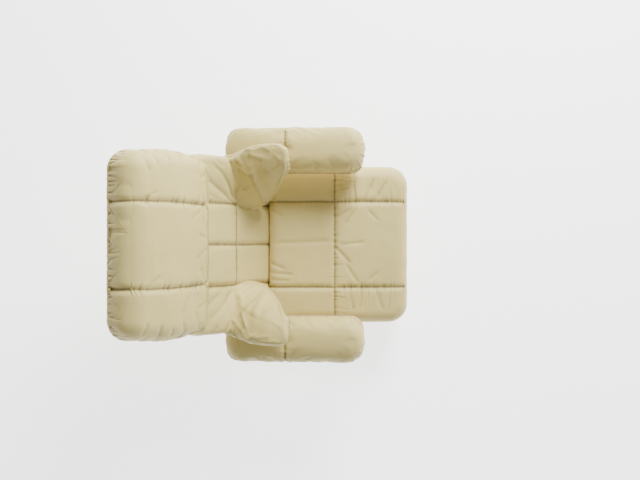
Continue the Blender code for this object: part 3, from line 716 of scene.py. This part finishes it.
# ---------------------------------------------------------------------------
# Head section. A wide pillow in three lengthwise panels, gathered hard into
# the welt round its sides; its lower edge lies over the front of the lower back.
HEAD_TOP = 0.612
HEAD_SEAM_X = 0.132
WELT_N = -0.022
HEAD_CROWN = 0.008
HEAD_SLOPE = 0.026
HEAD_DOME_R = 0.2045
HEAD_LIP = 0.036
HEAD_FOOT_CORNER = 0.022
low, high = np.array((-0.297, 0.322, -0.054)), np.array((0.297, HEAD_TOP, 0.096))
flat, faces = grid_box(lines(low[0], -HEAD_SEAM_X, HEAD_SEAM_X, high[0]), lines(low[1], high[1]),
                       lines(low[2], WELT_N, high[2]))
shaped = round_over(flat, low - (0, 0.12, 0), high - (0, 0, 0.008), 0.062, 0.060, 0.024)
x, u, n = flat.T
front = near(n, high[2])
ends = near(u, high[1])
sides = near(np.abs(x), high[0])
foot_face = near(u, low[1])
on_seam = (n > WELT_N) & ~foot_face
seams = [(on_seam, 0, HEAD_SEAM_X, 1), (on_seam, 0, -HEAD_SEAM_X, 1),
         (sides, 2, WELT_N, 1), (ends, 2, WELT_N, 0)]
drop = dip(np.abs(np.abs(x) - HEAD_SEAM_X), 0.007, 0.009)
shaped[:, 2] -= drop * front
shaped[:, 1] -= drop * (ends & (n > WELT_N))
crown = HEAD_CROWN * np.cos(np.clip(x / 0.30, -1, 1) * math.pi / 2) * np.clip((high[1] - u) / 0.08, 0, 1)
shaped[:, 2] += np.where(front, crown, 0)
over = np.clip((shaped[:, 1] - 0.43) / 0.18, 0, 1)
shaped[:, 2] -= np.where(n > WELT_N, HEAD_SLOPE * smooth_step(over), 0)
tuck = dip(np.abs(n - WELT_N), 0.005, 0.009)
shaped[:, 0] -= np.sign(x) * np.where(sides, tuck, 0)
shaped[:, 1] -= np.where(ends, tuck, 0)
shaped[:, 0] *= np.interp(shaped[:, 1], (0.33, 0.47, 0.57, 0.63), (0.99, 1.0, 0.965, 0.94))
bow = 1 + 0.04 * np.clip((shaped[:, 1] - 0.47) / 0.15, -1, 1)
shaped[:, 0] = np.where(np.abs(x) <= HEAD_SEAM_X + 0.02, shaped[:, 0] * bow, shaped[:, 0])
rise = u - low[1]
shaped[:, 2] -= np.where(front, 0.012 * np.exp(-(rise / 0.010) ** 2), 0)
lip = np.clip((shaped[:, 2] - 0.072) / 0.008, 0, 1)
foot = dome(np.clip(shaped[:, 2], -0.054, 0.074), HEAD_DOME_R) - HEAD_LIP * lip
round_x = np.clip(np.abs(x) - (high[0] - HEAD_FOOT_CORNER), 0, HEAD_FOOT_CORNER)
foot += HEAD_FOOT_CORNER - np.sqrt(HEAD_FOOT_CORNER ** 2 - round_x ** 2)
shaped[:, 1] += (foot - low[1]) * np.clip(1 - rise / 0.12, 0, 1)
pull = np.where(sides, 2.4, np.where(ends, 2.0, 1.5))
reach = np.where(sides, 0.150, np.where(ends, 0.105, 0.032))
HEAD_FOLDS = (
    ((0.128, 0.335), (0.060, 0.352), 0.0026, 0.006),
    ((0.120, 0.350), (0.085, 0.395), 0.0022, 0.006),
    ((-0.128, 0.340), (-0.070, 0.362), 0.0024, 0.006),
    ((-0.120, 0.335), (-0.040, 0.338), 0.0024, 0.006),
    ((0.020, 0.330), (0.035, 0.372), 0.0022, 0.006),
    ((-0.010, 0.332), (-0.045, 0.380), 0.0024, 0.006),
    ((0.075, 0.328), (0.040, 0.345), 0.0020, 0.005),
    ((0.285, 0.350), (0.220, 0.372), 0.0026, 0.008),
    ((-0.285, 0.350), (-0.205, 0.380), 0.0026, 0.008),
    ((-0.140, 0.400), (-0.215, 0.430), 0.0022, 0.009),
    ((0.230, 0.328), (0.215, 0.362), 0.0022, 0.006),
    ((-0.180, 0.328), (-0.200, 0.370), 0.0024, 0.006),
    ((0.138, 0.560), (0.165, 0.520), 0.0022, 0.006),
    ((-0.126, 0.555), (-0.090, 0.510), 0.0022, 0.006),
    ((0.290, 0.560), (0.225, 0.545), 0.0030, 0.006),
    ((0.292, 0.520), (0.240, 0.515), 0.0028, 0.006),
    ((0.294, 0.470), (0.235, 0.478), 0.0030, 0.006),
    ((0.294, 0.425), (0.245, 0.440), 0.0028, 0.006),
    ((-0.290, 0.560), (-0.235, 0.550), 0.0028, 0.006),
    ((-0.294, 0.500), (-0.240, 0.505), 0.0030, 0.006),
    ((-0.294, 0.455), (-0.250, 0.462), 0.0026, 0.006),
    ((-0.294, 0.405), (-0.235, 0.425), 0.0028, 0.006),
)
upholster("head_cushion", "head", ("head_cover", "head_wadding", "head_foam"), flat,
          in_back(wander(shaped, 0.0012, 22, 9.0)), faces, seams, 9.5, pull=pull, reach=reach,
          fold=fold_field(x, u, HEAD_FOLDS) * front, gather=0.0030, pitch=0.017)


# ---------------------------------------------------------------------------
# Wings. A bolster on each side of the lower back, which starts in the seam
# beside the lumbar panels, sweeps out over the arm pad and ends in a soft tip.
WING_ROWS = (0.0, 0.20, 0.42, 0.65, 0.87, 1.0)
WING_INNER = ((0.131, 0.292, 0.292), (0.124, 0.228, 0.256), (0.137, 0.184, 0.240), (0.160, 0.156, 0.270),
              (0.202, 0.118, 0.345), (0.238, 0.0925, 0.412))
WING_MIDDLE = ((0.215, 0.304, 0.322), (0.218, 0.248, 0.338), (0.226, 0.206, 0.360), (0.240, 0.163, 0.390),
               (0.262, 0.115, 0.420), (0.276, 0.088, 0.432))
WING_OUTER = ((0.292, 0.314, 0.350), (0.306, 0.258, 0.370), (0.319, 0.214, 0.394), (0.322, 0.165, 0.420),
              (0.321, 0.122, 0.436), (0.315, 0.092, 0.440))
WING_WIDE = 0.190
WING_LONG = 0.250
WING_THICK = 0.052
WING_CELL = 0.005
WING_FOLDS = {
    "left": (((0.190, 0.092), (0.172, 0.118), 0.0031, 0.0069),
             ((0.168, 0.100), (0.142, 0.168), 0.0031, 0.0069),
             ((0.168, 0.047), (0.138, 0.078), 0.0029, 0.0069),
             ((0.138, 0.056), (0.112, 0.092), 0.0029, 0.0069),
             ((0.180, 0.026), (0.150, 0.040), 0.0021, 0.0057),
             ((0.126, 0.108), (0.004, 0.128), 0.0072, 0.0147),
             ((0.090, 0.050), (0.050, 0.085), 0.0016, 0.0080),
             ((0.184, 0.150), (0.160, 0.190), 0.0021, 0.0057),
             ((0.150, 0.200), (0.110, 0.225), 0.0015, 0.0069),
             ((0.120, 0.160), (0.070, 0.190), 0.0014, 0.0092)),
    "right": (((0.056, 0.116), (0.120, 0.056), 0.0034, 0.0069),
              ((0.108, 0.064), (0.152, 0.100), 0.0034, 0.0069),
              ((0.172, 0.108), (0.158, 0.192), 0.0030, 0.0069),
              ((0.186, 0.096), (0.156, 0.140), 0.0030, 0.0069),
              ((0.128, 0.092), (0.172, 0.070), 0.0027, 0.0057),
              ((0.120, 0.118), (0.020, 0.132), 0.0051, 0.0158),
              ((0.178, 0.150), (0.168, 0.215), 0.0022, 0.0057),
              ((0.186, 0.040), (0.150, 0.052), 0.0025, 0.0057),
              ((0.100, 0.150), (0.050, 0.190), 0.0015, 0.0092),
              ((0.060, 0.040), (0.020, 0.075), 0.0015, 0.0080)),
}


def wing_surface(across, along):
    """A point of the wing's middle layer, from shares across and along it."""
    rows = []
    for net in (WING_INNER, WING_MIDDLE, WING_OUTER):
        net = np.array(net)
        rows.append(np.stack([np.interp(along, WING_ROWS, net[:, axis]) for axis in range(3)], axis=1))
    inner, middle, outer = rows
    a = across[:, None]
    return inner * (1 - a) * (1 - 2 * a) + middle * 4 * a * (1 - a) + outer * a * (2 * a - 1)


def wing_frame(across, along):
    """The middle layer's points and the way out of its upper side."""
    step = 0.01
    shifts = (-0.06, -0.03, 0, 0.03, 0.06)
    here = sum(wing_surface(across, np.clip(along + shift, 0, 1)) for shift in shifts) / len(shifts)
    side = wing_surface(np.clip(across + step, 0, 1), along) - wing_surface(np.clip(across - step, 0, 1), along)
    ahead = wing_surface(across, np.clip(along + 0.06, 0, 1)) - wing_surface(across, np.clip(along - 0.06, 0, 1))
    normal = np.cross(ahead, side)
    normal *= np.sign(normal[:, 2:3])
    return here, normal / np.linalg.norm(normal, axis=1)[:, None]


for side, word, seed in ((1, "left", 11.0), (-1, "right", 17.0)):
    high = np.array((WING_WIDE, WING_LONG, WING_THICK))
    flat, faces = grid_box(lines(0.0, high[0], cell=WING_CELL), lines(0.0, high[1], cell=WING_CELL),
                           lines(0.0, WING_THICK / 2, WING_THICK, cell=WING_CELL))
    shaped = round_over(flat, np.array((0, -0.12, 0)), high, 0.034, 0.025, 0.024)
    middle, normal = wing_frame(shaped[:, 0] / WING_WIDE, shaped[:, 1] / WING_LONG)
    a, b = flat[:, 0], flat[:, 1]
    bulge = np.clip(4 * a / WING_WIDE * (1 - a / WING_WIDE), 0, 1) * np.clip(1 - (b / WING_LONG) ** 4, 0, 1)
    thick = np.interp(shaped[:, 1] / WING_LONG, (0, 0.35, 1), (0.70, 1.0, 0.95)) * (0.72 + 0.42 * bulge)
    placed = middle + normal * ((shaped[:, 2] - WING_THICK / 2) * thick)[:, None]
    upper = near(flat[:, 2], WING_THICK)
    fold = 0.0010 * wave(a * 16, b * 16, seed) + fold_field(a, b, WING_FOLDS[word]) * upper
    placed[:, 0] *= side
    if side < 0:
        faces = [ring[::-1] for ring in faces]
    edges = near(a, WING_WIDE) | near(a, 0.0)
    seams = [(edges, 2, 0.0, 1), (near(b, WING_LONG), 2, 0.0, 0)]
    hold = np.clip(1 - b / 0.02, 0, 1)
    ease = np.clip(1.2 - np.minimum(WING_WIDE - a, WING_LONG - b) / 0.05, 0.3, 1)
    upholster("wing_" + word, "back", ("wing_cover_" + word, "wing_fill_" + word), flat,
              wander(placed, 0.0012, 20, seed), faces, seams, seed, pull=2.2, reach=0.085, fold=fold,
              blow={"hold": hold, "ease": ease, "ease_most": 0.025, "pressure": 5.0, "cap": 0.007, "bend": 2.0})


# ---------------------------------------------------------------------------
# Arm pads. A long pad with one seam across it, its hide gathered into a welt
# round the sides, and its top falling a little towards the back.
ARM_SEAM_Y = 0.106
ARM_FALL = 0.062
ARM_RISE = 0.177
ARM_WELT = 0.040
for side, word, seed in ((1, "left", 23.0), (-1, "right", 29.0)):
    low, high = [np.array(corner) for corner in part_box("arm_cover_" + word)]
    high[2] = seat_high[2] + ARM_RISE
    flat, faces = grid_box(lines(low[0], high[0]), lines(low[1], ARM_SEAM_Y, high[1]),
                           lines(low[2], low[2] + ARM_WELT, high[2]))
    box = (low + (0.004, 0.003, -0.0005), high - (0.004, 0.003, 0.005))
    rise = np.clip((flat[:, 2:3] - low[2] - 0.010) / 0.040, 0, 1)
    shaped = round_over(flat, *box, 0.070, 0.056, 0.010) * rise
    shaped += round_over(flat, *box, 0.044, 0.044, 0.008) * (1 - rise)
    x, y, z = flat.T
    top = near(z, high[2])
    under = near(z, low[2])
    middle_x = (low[0] + high[0]) / 2
    walls = ~(top | under)
    seams = [(~under & (z > low[2] + ARM_WELT - 1e-6), 1, ARM_SEAM_Y, 0),
             (near(np.abs(x - middle_x), high[0] - middle_x), 2, low[2] + ARM_WELT, 1),
             (near(y, low[1]) | near(y, high[1]), 2, low[2] + ARM_WELT, 0)]
    shaped[:, 2] -= dip(np.abs(y - ARM_SEAM_Y), 0.005, 0.008) * top
    away = np.stack((shaped[:, 0] - middle_x, (shaped[:, 1] - (low[1] + high[1]) / 2) * 0.35), axis=1)
    away /= np.maximum(np.linalg.norm(away, axis=1), 1e-6)[:, None]
    shaped[:, :2] -= away * (dip(np.abs(z - low[2] - ARM_WELT), 0.004, 0.008) * walls)[:, None]
    share = np.clip((shaped[:, 2] - low[2] - 0.012) / (high[2] - low[2] - 0.012), 0, 1)
    shaped[:, 2] -= share * ARM_FALL * (shaped[:, 1] - low[1]) / (high[1] - low[1])
    hold = np.where(under | (z < low[2] + 0.008), 1.0, 0.0)
    ahead = np.clip((low[1] + 0.07 - y) / 0.03, 0, 1)
    ease = 0.3 + 0.7 * ahead
    pull = np.where(walls, 1.0 + 1.6 * ahead, 1.3)
    reach = np.where(walls, 0.055 + 0.085 * ahead, 0.026)
    upholster("arm_pad_" + word, "carriage", ("arm_cover_" + word, "arm_fill_" + word), flat,
              wander(shaped, 0.0012, 26, seed), faces, seams, seed, pull=pull, reach=reach,
              blow={"hold": hold, "ease": ease, "ease_most": 0.05})


# ---------------------------------------------------------------------------
# Frame. Welded steel rails, bars, posts and plates in black powder coat; the
# springs, pins and head posts are bright zinc, the boards birch plywood.
def powder_coat(name):
    """Satin black paint with a fine orange-peel surface and a little dust."""
    b = Build(name)
    place = b.node("ShaderNodeTexCoord", {}, output=3)
    peel = b.node("ShaderNodeTexNoise", {}, ("Vector", place), ("Scale", 420.0), ("Detail", 2.0))
    dust = b.node("ShaderNodeTexNoise", {}, ("Vector", place), ("Scale", 14.0), ("Detail", 5.0))
    b.set(Base_Color=b.node("ShaderNodeMix", {"data_type": "RGBA"}, ("Factor", (dust - 0.45).clamp()),
                            ("A", (0.018, 0.018, 0.020, 1)), ("B", (0.10, 0.095, 0.085, 1)), output=2))
    b.set(Roughness=(0.36 + (dust - 0.5) * 0.4 + (peel - 0.5) * 0.1).clamp())
    b.set(Normal=b.node("ShaderNodeBump", {}, ("Strength", 0.25), ("Distance", 0.0004), ("Height", peel)))
    return b.material


def zinc(name):
    """Bright zinc-plated steel with faint drawing marks."""
    b = Build(name)
    place = b.node("ShaderNodeTexCoord", {}, output=3)
    drawn = b.node("ShaderNodeMapping", {}, ("Vector", place), ("Scale", (160.0, 160.0, 9.0)))
    marks = b.node("ShaderNodeTexNoise", {}, ("Vector", drawn), ("Scale", 3.0), ("Detail", 4.0))
    bloom = b.node("ShaderNodeTexNoise", {}, ("Vector", place), ("Scale", 22.0), ("Detail", 4.0))
    b.set(Base_Color=b.node("ShaderNodeMix", {"data_type": "RGBA"}, ("Factor", bloom),
                            ("A", (0.60, 0.60, 0.61, 1)), ("B", (0.42, 0.42, 0.41, 1)), output=2))
    b.set(Roughness=(0.26 + (bloom - 0.5) * 0.3 + (marks - 0.5) * 0.12).clamp())
    b.set(Normal=b.node("ShaderNodeBump", {}, ("Strength", 0.12), ("Distance", 0.0003), ("Height", marks)))
    b.shader.inputs["Metallic"].default_value = 1.0
    return b.material


def birch_ply(name):
    """Birch plywood: long pale grain with thin darker glue lines."""
    b = Build(name)
    place = b.node("ShaderNodeTexCoord", {}, output=3)
    grain_place = b.node("ShaderNodeMapping", {}, ("Vector", place), ("Scale", (60.0, 5.0, 60.0)))
    grain = b.node("ShaderNodeTexNoise", {}, ("Vector", grain_place), ("Scale", 1.6), ("Detail", 6.0))
    plies = b.node("ShaderNodeTexWave", {"bands_direction": "Z"}, ("Vector", place), ("Scale", 130.0),
                   ("Distortion", 0.6), output=1)
    shade = (grain * 0.8 + (1 - plies) * 0.25 - 0.1).clamp()
    b.set(Base_Color=b.node("ShaderNodeMix", {"data_type": "RGBA"}, ("Factor", shade),
                            ("A", (0.66, 0.49, 0.29, 1)), ("B", (0.36, 0.22, 0.10, 1)), output=2))
    b.set(Roughness=(0.55 + (grain - 0.5) * 0.3).clamp())
    b.set(Normal=b.node("ShaderNodeBump", {}, ("Strength", 0.2), ("Distance", 0.0005), ("Height", grain)))
    return b.material


def moulded_plastic(name):
    """Black moulded plastic with a spark-eroded texture, rubbed smoother where hands turn it."""
    b = Build(name)
    place = b.node("ShaderNodeTexCoord", {}, output=3)
    texture = b.node("ShaderNodeTexVoronoi", {}, ("Vector", place), ("Scale", 900.0))
    rubbed = b.node("ShaderNodeTexNoise", {}, ("Vector", place), ("Scale", 40.0), ("Detail", 3.0))
    b.set(Base_Color=b.node("ShaderNodeMix", {"data_type": "RGBA"}, ("Factor", rubbed),
                            ("A", (0.016, 0.016, 0.017, 1)), ("B", (0.035, 0.034, 0.033, 1)), output=2))
    b.set(Roughness=(0.40 + (rubbed - 0.5) * 0.35).clamp())
    b.set(Normal=b.node("ShaderNodeBump", {}, ("Strength", 0.35), ("Distance", 0.0004), ("Height", texture)))
    return b.material


def fibre(name, light, deep):
    """Open foam or fibre wadding: pale, matt and full of fine holes."""
    b = Build(name)
    place = b.node("ShaderNodeTexCoord", {}, output=3)
    holes = b.node("ShaderNodeTexVoronoi", {}, ("Vector", place), ("Scale", 500.0))
    patch = b.node("ShaderNodeTexNoise", {}, ("Vector", place), ("Scale", 12.0), ("Detail", 4.0))
    shade = (holes * 0.6 + patch * 0.5 - 0.2).clamp()
    b.set(Base_Color=b.node("ShaderNodeMix", {"data_type": "RGBA"}, ("Factor", shade),
                            ("A", (*light, 1)), ("B", (*deep, 1)), output=2))
    b.set(Roughness=(0.86 + (patch - 0.5) * 0.2).clamp())
    b.set(Normal=b.node("ShaderNodeBump", {}, ("Strength", 0.5), ("Distance", 0.001), ("Height", holes)))
    return b.material


finishes = {"cream_leather": hide, "frame_steel": powder_coat("frame_steel"),
            "bright_steel": zinc("bright_steel"), "plywood": birch_ply("plywood"),
            "black_plastic": moulded_plastic("black_plastic"),
            "foam": fibre("foam", (0.80, 0.74, 0.50), (0.58, 0.50, 0.28)),
            "wadding": fibre("wadding", (0.88, 0.88, 0.86), (0.70, 0.70, 0.68))}
for node in frame["nodes"].values():
    for place in node.material_slots:
        place.material = finishes[place.material.name.split(".")[0]]
